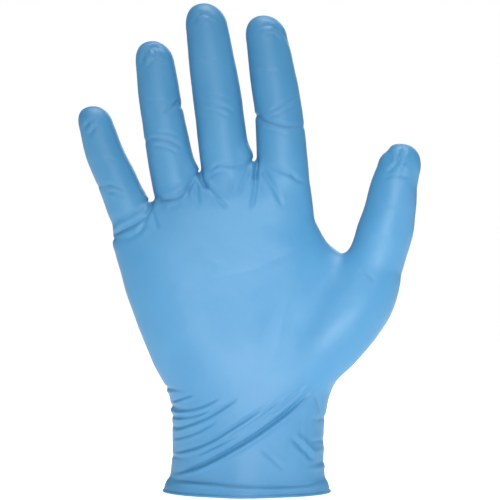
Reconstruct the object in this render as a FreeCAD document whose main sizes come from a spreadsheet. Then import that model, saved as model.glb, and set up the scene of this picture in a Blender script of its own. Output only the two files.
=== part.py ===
"""Disposable nitrile examination glove in the shape that it takes on an open right hand.

The glove is one dipped film. It is divided here along the lines where it folds in use, so that each
zone is a thin hollow shell of its own: a rolled bead, the cuff, the hand, three zones for each finger
stall and two for the thumb stall. Every fold turns about an axis across the middle of the stall, and
the film is parted there by a cylinder round that axis, so that a zone turns inside its neighbour's end.

Frame: +Z runs from the wrist to the fingertips, the palm faces -Y, the thumb is on the +X side, and
the origin is the centre of the open end, where the hand goes in. Units are millimetres and degrees.
"""
import FreeCAD
import Part
import math
import os

FINGERS = ("index", "middle", "ring", "little")
STALLS = FINGERS + ("thumb",)

GENERAL = {
    "film": 0.12,
    "slit": 0.15,
    "bead_radius": 0.6,
    "finger_depth_share": 0.84,
    "thumb_depth_share": 0.92,
    "stall_inside": 16,
    "stall_inside_taper": 0.96,
    "dome_share": 0.62,
}

# Where each fold parts the film. A fold that turns by an angle A needs a radius of more than the
# film's half depth divided by the cosine of A / 2.
FOLDS = {
    "wrist_height": 34,
    "wrist_swing": 22.3,
    "finger_root_swing": 16.6,
    "thumb_root_swing": 16.4,
    "knuckle_swing_share": 0.74,
    "end_swing_share": 0.6,
    "thumb_end_swing_share": 0.6,
    "thumb_end_turn": -45,
    "root_side_room": 0.3,
    "little_side_room": 1.4,
    "root_outer_room": 5,
    "knuckle_reach": 13.5,
    "tool_depth": 30,
    "tool_length": 110,
}

# Each stall: its root, its lean to the palm, then the lean to the little finger's side and the length
# of each zone, and its full width at the root, at the two folds and where the end dome starts.
STALL_COLUMNS = ("root_x", "root_y", "root_z", "forward",
                 "lean_a", "lean_b", "lean_c", "length_a", "length_b", "length_c",
                 "width_root", "width_b", "width_c", "width_end")
STALL_SIZES = {
    "index": (16.4, 0, 149.7, 0, 4.0, 8.4, 9.4, 25.0, 23.3, 26.0, 23.8, 22.8, 21.4, 19.4),
    "middle": (-10.3, 0, 150.7, 0, 6.7, 8.3, 8.2, 28.3, 22.7, 28.0, 23.2, 23.2, 21.6, 19.6),
    "ring": (-33.0, 0, 139.6, 0, 11.5, 9.7, 7.4, 24.5, 21.4, 27.0, 21.8, 20.8, 19.8, 18.0),
    "little": (-54.2, 0, 126.4, 0, 20.7, 23.6, 16.5, 18.1, 17.5, 22.4, 19.2, 18.9, 17.8, 16.2),
    "thumb": (59.6, -5, 108.6, 8, -15.0, -12.5, -12.5, 24.3, 9.6, 21.8, 27.2, 23.3, 22.8, 20.0),
}

# The mound between the thumb's root and the wrist: its last station lies inside the thumb's stall.
MOUND_COLUMNS = ("x", "y", "z", "lean", "half_width", "half_depth")
MOUND_SIZES = (
    (19.0, -4, 50, -42, 14.0, 13.8),
    (33.0, -5, 67, -40, 16.6, 15.4),
    (47.5, -5.5, 87, -30, 17.2, 14.8),
    (58.6, -5.0, 105, -17, 12.6, 12.0),
    (62.0, -5.2, 117, -15, 9.5, 8.6),
)

# The hand's form from the open end to the webs. square is 2 for an ellipse and more for a boxier one.
HAND_COLUMNS = ("x", "z", "tilt", "half_width", "half_depth", "square")
HAND_SIZES = (
    (-0.5, 0, 0, 38.6, 22.4, 2.0),
    (-0.2, 9, 0, 37.2, 21.2, 2.1),
    (0.1, 28, 0, 35.6, 20.2, 2.2),
    (0.6, 43, 0, 37.4, 20.4, 2.3),
    (0.5, 61, 0, 45.5, 20.0, 2.4),
    (-1.8, 80, 0, 50.8, 18.4, 2.5),
    (-4.9, 99, 0, 53.9, 16.4, 2.6),
    (-9.8, 112, 2, 52.4, 14.8, 2.7),
    (-15.7, 124, 6, 48.6, 13.2, 2.6),
    (-17.5, 142, 15, 46.0, 11.2, 2.5),
)

# The ridge of film that fills the webs between the three longest fingers.
WEB = {
    "web_x": -9,
    "web_z": 140,
    "web_tilt": 13,
    "web_half_width": 30,
    "web_half_depth": 10.2,
    "web_height": 13,
}

DOME_ANGLES = (0, 30, 54, 72, 84)
SECTION_POINTS = 24
OPEN_END_EXTRA = 1.0
NO_TURN = "rotation(vector(0; 0; 1); 0)"

doc = FreeCAD.newDocument("NitrileGlove")
sheet = doc.addObject("Spreadsheet::Sheet", "Sizes")


def fill_sheet():
    """Writes every driving dimension into the sheet, one row each, under its alias."""
    rows = {**GENERAL, **FOLDS, **WEB}
    for stall, sizes in STALL_SIZES.items():
        rows.update({f"{stall}_{column}": size for column, size in zip(STALL_COLUMNS, sizes)})
    for number, sizes in enumerate(MOUND_SIZES):
        rows.update({f"mound_{number}_{column}": size for column, size in zip(MOUND_COLUMNS, sizes)})
    for number, sizes in enumerate(HAND_SIZES):
        rows.update({f"hand_{number}_{column}": size for column, size in zip(HAND_COLUMNS, sizes)})
    for row, (alias, size) in enumerate(rows.items(), start=1):
        sheet.set(f"A{row}", alias)
        sheet.set(f"B{row}", str(size))
        sheet.setAlias(f"B{row}", alias)
    doc.recompute()


def leaned(lean):
    """Expression for a turn of a stall's length towards the little finger's side."""
    return f"rotation(vector(0; 1; 0); -({lean}))"


def offset(base, x="0", y="0", z="0", turn=NO_TURN):
    """Expression for a placement moved along another one's axes and then turned."""
    return f"{base.Name}.Placement * placement(vector({x}; {y}; {z}); {turn})"


def frame(name, placement):
    """A coordinate system that other objects are placed from."""
    system = doc.addObject("Part::LocalCoordinateSystem", name)
    system.setExpression("Placement", placement)
    return system


def ellipse(name, placement, half_width, half_depth):
    section = doc.addObject("Part::Ellipse", name)
    section.MinorRadius = section.MajorRadius / 2
    section.setExpression("MajorRadius", half_width)
    section.setExpression("MinorRadius", half_depth)
    section.setExpression("Placement", placement)
    return section


def loft(name, sections):
    form = doc.addObject("Part::Loft", name)
    form.Sections = sections
    form.Solid = True
    form.Ruled = False
    form.MaxDegree = 3
    return form


def joined(name, parts):
    fusion = doc.addObject("Part::MultiFuse", name)
    fusion.Shapes = parts
    fusion.Refine = False
    return fusion


def cut(name, base, tool):
    part = doc.addObject("Part::Cut", name)
    part.Base = base
    part.Tool = tool
    part.Refine = False
    return part


def common(name, base, tool):
    part = doc.addObject("Part::Common", name)
    part.Base = base
    part.Tool = tool
    part.Refine = False
    return part


def stall_frames(stall):
    """Coordinate systems at a stall's root, at its two folds and where its end dome starts."""
    cell = f"Sizes.{stall}_"
    root = frame(f"{stall}_root", f"placement(vector({cell}root_x; {cell}root_y; {cell}root_z);"
                                  f" {leaned(cell + 'lean_a')} * rotation(vector(1; 0; 0); {cell}forward))")
    half_turn_b = f"({cell}lean_b - {cell}lean_a) / 2"
    half_turn_c = f"({cell}lean_c - {cell}lean_b) / 2"
    fold_b = frame(f"{stall}_fold_b", offset(root, z=cell + "length_a", turn=leaned(half_turn_b)))
    axis_b = frame(f"{stall}_axis_b", offset(fold_b, turn=leaned(half_turn_b)))
    fold_c = frame(f"{stall}_fold_c", offset(axis_b, z=cell + "length_b", turn=leaned(half_turn_c)))
    axis_c = frame(f"{stall}_axis_c", offset(fold_c, turn=leaned(half_turn_c)))
    straight = f"{cell}length_c - Sizes.dome_share * {cell}width_end"
    end = frame(f"{stall}_end", offset(axis_c, z=straight))
    return root, fold_b, fold_c, end


def stall_form(stall, frames, side, inset):
    """The closed form of a stall, with its outer surface moved in by inset."""
    share = "Sizes.thumb_depth_share" if stall == "thumb" else "Sizes.finger_depth_share"
    sections = []

    def section(placement, width, scale="1"):
        half_width = f"({width} / 2 - {inset}) * {scale}"
        half_depth = f"({width} / 2 * {share} - {inset}) * {scale}"
        sections.append(ellipse(f"{stall}_{side}_section", placement, half_width, half_depth))

    root, fold_b, fold_c, end = frames
    inside = f"Sizes.stall_inside_taper * Sizes.{stall}_width_root"
    section(offset(root, z="-Sizes.stall_inside"), inside)
    for station, width in ((root, "root"), (fold_b, "b"), (fold_c, "c")):
        section(offset(station), f"Sizes.{stall}_width_{width}")
    width = f"Sizes.{stall}_width_end"
    height = f"(Sizes.dome_share * {width} - {inset})"
    for angle in DOME_ANGLES:
        section(offset(end, z=f"{height} * sin({angle})"), width, f"cos({angle})")
    return loft(f"{stall}_{side}_form", sections)


def mound_form(side, inset):
    """The closed form of the mound under the thumb."""
    sections = []
    for number in range(len(MOUND_SIZES)):
        cell = f"Sizes.mound_{number}_"
        placement = f"placement(vector({cell}x; {cell}y; {cell}z); {leaned(cell + 'lean')})"
        sections.append(ellipse(f"mound_{side}_section", placement,
                                f"{cell}half_width - {inset}", f"{cell}half_depth - {inset}"))
    return loft(f"mound_{side}_form", sections)


def hand_section(number, side, inset):
    """One closed section of the hand's form: a superellipse, which none of the primitives draws."""
    x, z, tilt, half_width, half_depth, square = (sheet.get(f"hand_{number}_{column}")
                                                  for column in HAND_COLUMNS)
    power = 2 / square
    points = []
    for step in range(SECTION_POINTS):
        angle = 2 * math.pi * step / SECTION_POINTS
        across, through = math.cos(angle), math.sin(angle)
        points.append(FreeCAD.Vector(
            math.copysign(abs(across) ** power, across) * (half_width - inset),
            math.copysign(abs(through) ** power, through) * (half_depth - inset), 0))
    curve = Part.BSplineCurve()
    curve.interpolate(points, PeriodicFlag=True)
    section = doc.addObject("Part::Feature", f"hand_{side}_section_{number}")
    section.Shape = Part.Wire([curve.toShape()])
    turn = FreeCAD.Rotation(FreeCAD.Vector(0, 1, 0), -tilt)
    lift = 0
    if inset and number == 0:
        lift = -OPEN_END_EXTRA
    elif number == len(HAND_SIZES) - 1:
        lift = -inset
    section.Placement = FreeCAD.Placement(FreeCAD.Vector(x, 0, z) + turn.multVec(
        FreeCAD.Vector(0, 0, lift)), turn)
    return section


def hand_form(side, inset):
    """The closed form of cuff and hand together."""
    return loft(f"hand_{side}_form", [hand_section(n, side, inset) for n in range(len(HAND_SIZES))])


def web_form(side, inset):
    ridge = doc.addObject("Part::Ellipsoid", f"web_{side}_form")
    ridge.setExpression("Radius1", f"Sizes.web_height - {inset}")
    ridge.setExpression("Radius2", f"Sizes.web_half_width - {inset}")
    ridge.setExpression("Radius3", f"Sizes.web_half_depth - {inset}")
    ridge.setExpression("Placement", f"placement(vector(Sizes.web_x; 0; Sizes.web_z);"
                                     f" {leaned('Sizes.web_tilt')})")
    return ridge


def palm_form(side, inset):
    """Cuff, hand, mound and webs as one closed form, moved in by the sheet's cell inset or by nothing."""
    alias = f"Sizes.{inset}" if inset else "0"
    forms = [hand_form(side, sheet.get(inset) if inset else 0), mound_form(side, alias),
             web_form(side, alias)]
    return joined(f"palm_{side}_form", forms)


def swing_tool(name, fold, turn, radius, reach, length="Sizes.tool_length"):
    """All that turns about the fold's X axis: the space above it and a cylinder round it."""
    left, right = reach
    block = doc.addObject("Part::Box", name + "_block")
    block.setExpression("Length", f"{left} + {right}")
    block.setExpression("Width", "2 * Sizes.tool_depth")
    block.setExpression("Height", length)
    axis = frame(name + "_axis", offset(fold, turn=turn))
    block.setExpression("Placement", offset(axis, x=f"-({left})", y="-Sizes.tool_depth"))
    drum = doc.addObject("Part::Cylinder", name + "_drum")
    drum.setExpression("Radius", radius)
    drum.setExpression("Height", f"{left} + {right}")
    drum.setExpression("Placement", offset(axis, x=f"-({left})", turn="rotation(vector(0; 1; 0); 90)"))
    return joined(name, [block, drum])


def tool_pair(name, fold, radius, reach, turn=NO_TURN, length="Sizes.tool_length"):
    """The tool for the zone above a fold, and one wider by the slit, for the zone below it."""
    inner = swing_tool(name, fold, turn, radius, reach, length)
    wider = [f"{side} + Sizes.slit" for side in reach]
    outer = swing_tool(name + "_slit", fold, turn, f"{radius} + Sizes.slit", wider, length)
    return inner, outer


def stall_tools(stall, frames):
    """The tool pair of each of a stall's folds, from its root up."""
    cell = f"Sizes.{stall}_"
    root, fold_b, fold_c, _ = frames
    left = f"{cell}width_root / 2 + Sizes.root_{'outer' if stall == 'little' else 'side'}_room"
    right_rooms = {"index": "root_outer", "thumb": "root_outer", "little": "little_side"}
    right = f"{cell}width_root / 2 + Sizes.{right_rooms.get(stall, 'root_side')}_room"
    reach = ("Sizes.knuckle_reach", "Sizes.knuckle_reach")
    if stall == "thumb":
        return [tool_pair("thumb_root_tool", root, "Sizes.thumb_root_swing", (left, right)),
                tool_pair("thumb_end_tool", fold_b, f"Sizes.thumb_end_swing_share * {cell}width_b",
                          reach, "rotation(vector(0; 0; 1); Sizes.thumb_end_turn)")]
    depth_b = f"Sizes.finger_depth_share * {cell}width_b"
    depth_c = f"Sizes.finger_depth_share * {cell}width_c"
    return [tool_pair(f"{stall}_root_tool", root, "Sizes.finger_root_swing", (left, right)),
            tool_pair(f"{stall}_knuckle_tool", fold_b, f"Sizes.knuckle_swing_share * {depth_b}", reach),
            tool_pair(f"{stall}_end_tool", fold_c, f"Sizes.end_swing_share * {depth_c}", reach)]


def bead_roll():
    """The rolled rim: a round section swept along the open end's ellipse."""
    centre = "placement(vector(Sizes.hand_0_x; 0; 0); rotation(vector(0; 0; 1); 0))"
    path = ellipse("bead_path", centre, "Sizes.hand_0_half_width - Sizes.film / 2",
                   "Sizes.hand_0_half_depth - Sizes.film / 2")
    ring = doc.addObject("Part::Circle", "bead_section")
    ring.setExpression("Radius", "Sizes.bead_radius")
    ring.setExpression("Placement", "placement(vector(Sizes.hand_0_x + Sizes.hand_0_half_width"
                                    " - Sizes.film / 2; 0; 0); rotation(vector(1; 0; 0); 90))")
    doc.recompute()
    roll = doc.addObject("Part::Sweep", "cuff_bead")
    roll.Sections = [ring]
    roll.Spine = (path, ["Edge1"])
    roll.Solid = True
    roll.Frenet = True
    return roll


def front_space():
    """All of the space on the palm's side of the glove's middle plane."""
    block = doc.addObject("Part::Box", "front_space")
    block.setExpression("Length", "2 * Sizes.tool_length")
    block.setExpression("Width", "Sizes.tool_depth")
    block.setExpression("Height", "2 * Sizes.tool_length")
    block.setExpression("Placement", f"placement(vector(-Sizes.tool_length; -Sizes.tool_depth; 0); {NO_TURN})")
    return block


def stall_zones(stall, frames, tools, palm_outer, palm_inner):
    """The zones of one stall, from its root to its tip."""
    outer = stall_form(stall, frames, "outer", "0")
    inner = stall_form(stall, frames, "inner", "Sizes.film")
    outer_root = joined(f"{stall}_with_palm_outer", [palm_outer, outer])
    inner_root = joined(f"{stall}_with_palm_inner", [palm_inner, inner])
    names = ("lower", "tip") if stall == "thumb" else ("lower", "middle", "tip")
    zones = []
    for number, name in enumerate(names):
        label = f"{stall}_{name}"
        solid = common(label + "_and_above", outer if number else outer_root, tools[number][0])
        if number + 1 < len(names):
            solid = cut(label + "_solid", solid, tools[number + 1][1])
        zones.append(cut(label, solid, inner if number else inner_root))
    return zones


def build():
    """Makes the film of the palm, parts it and the stalls into zones and returns the sub-parts."""
    fill_sheet()
    palm_outer = palm_form("outer", None)
    palm_inner = palm_form("inner", "film")
    palm_film = cut("palm_film", palm_outer, palm_inner)
    wrist = frame("wrist", "placement(vector(0; 0; Sizes.wrist_height); rotation(vector(0; 0; 1); 0))")
    wrist_inner, wrist_outer = tool_pair("wrist_tool", wrist, "Sizes.wrist_swing",
                                         ("Sizes.tool_length", "Sizes.tool_length"),
                                         length="2.5 * Sizes.tool_length")
    bead = bead_roll()
    nodes = [bead, cut("cuff", cut("cuff_to_rim", palm_film, wrist_outer), bead)]
    hand = common("hand_and_roots", palm_film, wrist_inner)
    for stall in STALLS:
        frames = stall_frames(stall)
        tools = stall_tools(stall, frames)
        nodes += stall_zones(stall, frames, tools, palm_outer, palm_inner)
        hand = cut(f"hand_without_{stall}", hand, tools[0][1])
    front = front_space()
    return nodes + [common("palm", hand, front), cut("hand_back", hand, front)]


def export(nodes):
    """Checks every object, and writes each sub-part to parts/ under its label."""
    doc.recompute()
    failed = [thing.Name for thing in doc.Objects if {"Invalid", "Error"} & set(thing.State)]
    if failed:
        raise RuntimeError(f"objects that failed: {failed}")
    for node in nodes:
        shape = node.Shape
        box = shape.BoundBox
        print(f"{node.Label:14s} solids {len(shape.Solids)} volume {shape.Volume:8.1f}"
              f" x {box.XMin:.1f}..{box.XMax:.1f} y {box.YMin:.1f}..{box.YMax:.1f}"
              f" z {box.ZMin:.1f}..{box.ZMax:.1f}")
        if shape.isNull() or not shape.isValid() or not shape.Solids:
            raise RuntimeError(f"{node.Label} has no valid solid")
    os.makedirs("parts", exist_ok=True)
    for node in nodes:
        node.Shape.exportStep(f"parts/{node.Label}.step")


export(build())
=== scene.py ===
"""Looks of a blue nitrile examination glove, as it sits on an open right hand.

The film is modelled as one continuous skin: the forms of the hand, the mound under the thumb and the
five stalls are lofted, joined by a voxel remesh and smoothed, and then creased and folded. The skin is
split at mid-zone loops into pieces at the folds of the frame.
Lengths in the tables are millimetres, in the frame's own axes: +Z to the fingertips, -Y out of the
palm and +X to the thumb. Blender's lengths are metres.
"""
import math

import bmesh
import bpy
import numpy as np
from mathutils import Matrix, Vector, noise


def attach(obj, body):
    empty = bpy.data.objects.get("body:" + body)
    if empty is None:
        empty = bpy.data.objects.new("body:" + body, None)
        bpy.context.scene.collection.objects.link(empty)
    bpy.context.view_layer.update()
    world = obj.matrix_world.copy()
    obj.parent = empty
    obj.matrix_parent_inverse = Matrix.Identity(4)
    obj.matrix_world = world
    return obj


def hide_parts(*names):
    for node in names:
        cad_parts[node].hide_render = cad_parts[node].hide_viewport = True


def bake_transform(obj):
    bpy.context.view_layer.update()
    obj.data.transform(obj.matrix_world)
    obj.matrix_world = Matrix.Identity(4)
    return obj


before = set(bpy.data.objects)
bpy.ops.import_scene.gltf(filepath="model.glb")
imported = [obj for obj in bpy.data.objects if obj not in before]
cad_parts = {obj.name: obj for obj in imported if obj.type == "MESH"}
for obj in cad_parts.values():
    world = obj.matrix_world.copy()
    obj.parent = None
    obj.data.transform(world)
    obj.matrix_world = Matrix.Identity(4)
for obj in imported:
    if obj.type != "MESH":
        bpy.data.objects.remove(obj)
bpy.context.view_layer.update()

MM = 0.001
VOXEL = 0.58
MERGE_SHARE = 0.2
RING_POINTS = 72
WRIST_SPLIT = 48.0
WRIST_BLEND = 14.0
FLOOR_Z = -0.00065
STATION_STEP = 1.5

# ---------------------------------------------------------------- driving sizes of the form

# Each stall's root, its lean out of the palm, and for its three runs from root to tip their leans to the
# little finger's side and lengths; its widths at the root, at both folds and at the dome, its depth as a
# share of its width, and how far its tip stands to the thumb's side. Angles are degrees.
STALLS = {
    "index": dict(root=(16.4, 0, 149.7), forward=0, leans=(4.0, 8.4, 9.4), lengths=(25.0, 23.3, 26.0),
                  widths=(23.8, 22.8, 21.4, 19.4), depth=0.84, tip_shift=-1.3),
    "middle": dict(root=(-10.3, 0, 150.7), forward=0, leans=(6.7, 8.3, 8.2), lengths=(28.3, 22.7, 28.0),
                   widths=(23.2, 23.2, 21.6, 19.6), depth=0.84, tip_shift=-1.2),
    "ring": dict(root=(-33.0, 0, 139.6), forward=0, leans=(11.5, 9.7, 7.4), lengths=(24.5, 21.4, 27.0),
                 widths=(21.8, 20.8, 19.8, 18.0), depth=0.84, tip_shift=-1.2),
    "little": dict(root=(-54.2, 0, 126.4), forward=0, leans=(20.7, 23.6, 16.5), lengths=(18.1, 17.5, 22.4),
                   widths=(19.2, 18.9, 17.8, 16.2), depth=0.84, tip_shift=-1.5),
    "thumb": dict(root=(59.6, -5, 108.6), forward=8, leans=(-15.0, -12.5, -12.5),
                  lengths=(24.3, 9.6, 21.8), widths=(27.2, 23.3, 22.8, 20.0), depth=0.92, tip_shift=0.6),
}
STALL_INSIDE = 16
STALL_INSIDE_WIDTH = 0.96
DOME_SHARE = 0.62
DOME_POWER = 2.14
DOME_LAST_ANGLE = 88
DOME_RINGS = 18

# x, y, z, lean, half width, half depth of the mound that runs from the wrist into the thumb's stall.
MOUND = (
    (19.0, -4, 50, -42, 14.0, 13.8),
    (33.0, -5, 67, -40, 16.6, 15.4),
    (48.3, -5.5, 87, -30, 18.0, 14.8),
    (59.1, -5.0, 105, -17, 13.0, 12.0),
    (62.0, -5.2, 117, -15, 9.5, 8.6),
)

# x, z, tilt, half width, half depth and squareness of the hand, from below the open end to the webs.
HAND = (
    (-0.5, -6, 0, 39.0, 22.6, 2.0),
    (-0.5, 0, 0, 38.2, 22.2, 2.0),
    (-0.4, 3.4, 0, 37.6, 21.8, 2.05),
    (-0.2, 6.8, 0, 35.6, 20.9, 2.1),
    (0.0, 18, 0, 35.3, 20.4, 2.15),
    (0.1, 28, 0, 35.6, 20.2, 2.2),
    (0.6, 43, 0, 37.4, 20.4, 2.3),
    (0.5, 61, 0, 45.5, 20.0, 2.4),
    (-1.8, 80, 0, 50.8, 18.4, 2.5),
    (-4.9, 99, 0, 53.9, 16.4, 2.6),
    (-10.8, 112, 2, 51.2, 14.8, 2.7),
    (-16.6, 124, 6, 47.6, 13.2, 2.6),
    (-16.9, 135.5, 12, 46.6, 11.8, 2.5),
)
HAND_DOME_HEIGHT = 5.6
HAND_DOME_PULL = 5.0
HAND_DOME_RINGS = 12
# The webs' ridge is an ellipsoid with these half sizes.
WEB = dict(centre=(-9, 0, 140), tilt=13, semi=(30, 10.2, 13))
WEB_RINGS = 24
FORM_LAST_ANGLE = 86


# ---------------------------------------------------------------- small mathematics

def turn_y(degrees):
    a = math.radians(degrees)
    return np.array([[math.cos(a), 0, math.sin(a)], [0, 1, 0], [-math.sin(a), 0, math.cos(a)]])


def turn_x(degrees):
    a = math.radians(degrees)
    return np.array([[1, 0, 0], [0, math.cos(a), -math.sin(a)], [0, math.sin(a), math.cos(a)]])


def smoothstep(low, high, value):
    t = np.clip((value - low) / (high - low), 0, 1)
    return t * t * (3 - 2 * t)


def bell(value, width):
    return np.exp(-(value / width) ** 2)


def spline(knots, values, at):
    """Cubic Hermite curve through values at knots, with slopes that don't overshoot."""
    knots, values = np.asarray(knots, float), np.asarray(values, float)
    gap = np.diff(knots)[:, None]
    slope = np.diff(values, axis=0) / gap
    tangent = np.zeros_like(values)
    tangent[0], tangent[-1] = slope[0], slope[-1]
    before, after = gap[:-1], gap[1:]
    same = slope[:-1] * slope[1:] > 0
    mean = (before + after) * 3 / ((2 * after + before) / np.where(same, slope[:-1], 1)
                                   + (after + 2 * before) / np.where(same, slope[1:], 1))
    tangent[1:-1] = np.where(same, mean, 0)
    i = np.clip(np.searchsorted(knots, at) - 1, 0, len(knots) - 2)
    t = ((at - knots[i]) / gap[i, 0])[:, None]
    h = gap[i]
    return ((1 + 2 * t) * (1 - t) ** 2 * values[i] + t * (1 - t) ** 2 * h * tangent[i]
            + t * t * (3 - 2 * t) * values[i + 1] + t * t * (t - 1) * h * tangent[i + 1])


# ---------------------------------------------------------------- lofted forms

def ring(centre, rotation, half_width, half_depth, square=2.0):
    """Points of one closed section, a superellipse, in the frame's axes."""
    angle = np.arange(RING_POINTS) * 2 * math.pi / RING_POINTS
    c, s = np.cos(angle), np.sin(angle)
    x = np.sign(c) * np.abs(c) ** (2 / square) * half_width
    y = np.sign(s) * np.abs(s) ** (2 / square) * half_depth
    return centre + np.stack([x, y, np.zeros_like(x)], 1) @ rotation.T


def closed_loft(rings):
    """Vertices and faces of a closed mesh through the rings, with a fan at each end."""
    points = np.vstack(rings)
    count = len(rings)
    faces = []
    for level in range(count - 1):
        for k in range(RING_POINTS):
            a = level * RING_POINTS + k
            b = level * RING_POINTS + (k + 1) % RING_POINTS
            faces.append((a, b, b + RING_POINTS, a + RING_POINTS))
    bottom, top = len(points), len(points) + 1
    points = np.vstack([points, rings[0].mean(0), rings[-1].mean(0)])
    last = (count - 1) * RING_POINTS
    for k in range(RING_POINTS):
        following = (k + 1) % RING_POINTS
        faces.append((following, k, bottom))
        faces.append((last + k, last + following, top))
    return points, faces


def stall_frames(stall):
    """Centre and rotation at a stall's root, at its two folds, at its dome's start and at its tip."""
    first, second, third = stall["leans"]
    rotation = turn_y(-first) @ turn_x(stall["forward"])
    point = np.array(stall["root"], float)
    stations = [(point, rotation)]
    for length, change in zip(stall["lengths"], (second - first, third - second)):
        point = point + rotation @ np.array([0, 0, length])
        half = turn_y(-change / 2)
        stations.append((point, rotation @ half))
        rotation = rotation @ half @ half
    dome = DOME_SHARE * stall["widths"][3]
    end = point + rotation @ np.array([0, 0, stall["lengths"][2] - dome])
    stations.append((end, rotation))
    stations.append((end + rotation @ np.array([0, 0, dome]), rotation))
    return stations


def stall_form(stall):
    """A stall as a closed loft: its tube, from inside the hand, and its domed end."""
    stations = stall_frames(stall)
    root, turn = stations[0]
    inside = root - turn @ np.array([0, 0, STALL_INSIDE])
    centres = np.array([inside] + [point for point, _ in stations[:4]])
    widths = np.array([stall["widths"][0] * STALL_INSIDE_WIDTH, *stall["widths"]]) / 2
    along = np.concatenate([[0], np.cumsum(np.linalg.norm(np.diff(centres, axis=0), axis=1))])
    leans = [math.degrees(math.atan2(-r[0, 2], r[2, 2])) for _, r in stations[:4]]
    leans = np.array([leans[0], *leans])
    table = np.column_stack([centres, widths, leans])
    dense = spline(along, table, np.arange(0, along[-1], STATION_STEP))
    forward = turn_x(stall["forward"])
    rings = [ring(row[:3], turn_y(-row[4]) @ forward, row[3], row[3] * stall["depth"]) for row in dense]
    end, turn = stations[3]
    height = DOME_SHARE * stall["widths"][3]
    for angle in np.linspace(0, DOME_LAST_ANGLE, DOME_RINGS):
        up, across = math.sin(math.radians(angle)), math.cos(math.radians(angle))
        scale = across ** (2 / DOME_POWER)
        half = stall["widths"][3] / 2 * scale
        lift = height * up ** (2 / DOME_POWER)
        centre = end + turn @ np.array([stall["tip_shift"] * (lift / height) ** 2, 0, lift])
        rings.append(ring(centre, turn, half, half * stall["depth"]))
    return closed_loft(rings)


def mound_form():
    table = np.array(MOUND, float)
    along = np.concatenate([[0], np.cumsum(np.linalg.norm(np.diff(table[:, :3], axis=0), axis=1))])
    dense = spline(along, table, np.arange(0, along[-1], STATION_STEP))
    return closed_loft([ring(row[:3], turn_y(-row[3]), row[4], row[5]) for row in dense])


def hand_form():
    table = np.array(HAND, float)
    dense = spline(table[:, 1], table, np.arange(table[0, 1], table[-1, 1], STATION_STEP))
    rings = [ring(np.array([x, 0, z]), turn_y(-tilt), wide, deep, square)
             for x, z, tilt, wide, deep, square in dense]
    x, z, tilt, wide, deep, square = table[-1]
    turn = turn_y(-tilt)
    for angle in np.linspace(0, FORM_LAST_ANGLE, HAND_DOME_RINGS):
        across, lift = math.cos(math.radians(angle)), math.sin(math.radians(angle))
        centre = np.array([x, 0, z]) + turn @ np.array([0, 0, lift * HAND_DOME_HEIGHT])
        rings.append(ring(centre, turn, wide - HAND_DOME_PULL * (1 - across), deep * across, square))
    return closed_loft(rings)


def web_form():
    """The ridge of film between the roots of the three longest fingers."""
    wide, deep, high = WEB["semi"]
    turn = turn_y(-WEB["tilt"])
    rings = []
    for angle in np.linspace(-FORM_LAST_ANGLE, FORM_LAST_ANGLE, WEB_RINGS):
        scale, lift = math.cos(math.radians(angle)), math.sin(math.radians(angle)) * high
        centre = np.array(WEB["centre"], float) + turn @ np.array([0, 0, lift])
        rings.append(ring(centre, turn, wide * scale, deep * scale))
    return closed_loft(rings)


def mesh_object(name, points, faces):
    mesh = bpy.data.meshes.new(name)
    mesh.from_pydata((np.asarray(points) * MM).tolist(), [], faces)
    mesh.update()
    thing = bpy.data.objects.new(name, mesh)
    bpy.context.scene.collection.objects.link(thing)
    return thing


def joined_skin():
    """All forms as one closed skin with even faces, cut level at the open end."""
    points, faces = [], []
    for form in [hand_form(), mound_form(), web_form()] + [stall_form(s) for s in STALLS.values()]:
        start = sum(len(p) for p in points)
        points.append(form[0])
        faces += [tuple(start + i for i in face) for face in form[1]]
    rough = mesh_object("rough_skin", np.vstack(points), faces)
    remesh = rough.modifiers.new("one_skin", "REMESH")
    remesh.mode = "VOXEL"
    remesh.voxel_size = VOXEL * MM
    evaluated = rough.evaluated_get(bpy.context.evaluated_depsgraph_get())
    grid = bmesh.new()
    grid.from_mesh(evaluated.to_mesh())
    bpy.data.objects.remove(rough)
    return grid


def cut_open_end(grid):
    """Removes the closed bottom, so that the skin ends in a level rim at z = 0."""
    everything = grid.verts[:] + grid.edges[:] + grid.faces[:]
    bmesh.ops.bisect_plane(grid, geom=everything, plane_co=(0, 0, 0), plane_no=(0, 0, 1),
                           clear_inner=True)
    bmesh.ops.remove_doubles(grid, verts=grid.verts[:], dist=VOXEL * MM * MERGE_SHARE)


SMOOTH_STEP = 0.5
LEAST_LENGTH = 1e-12


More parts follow.
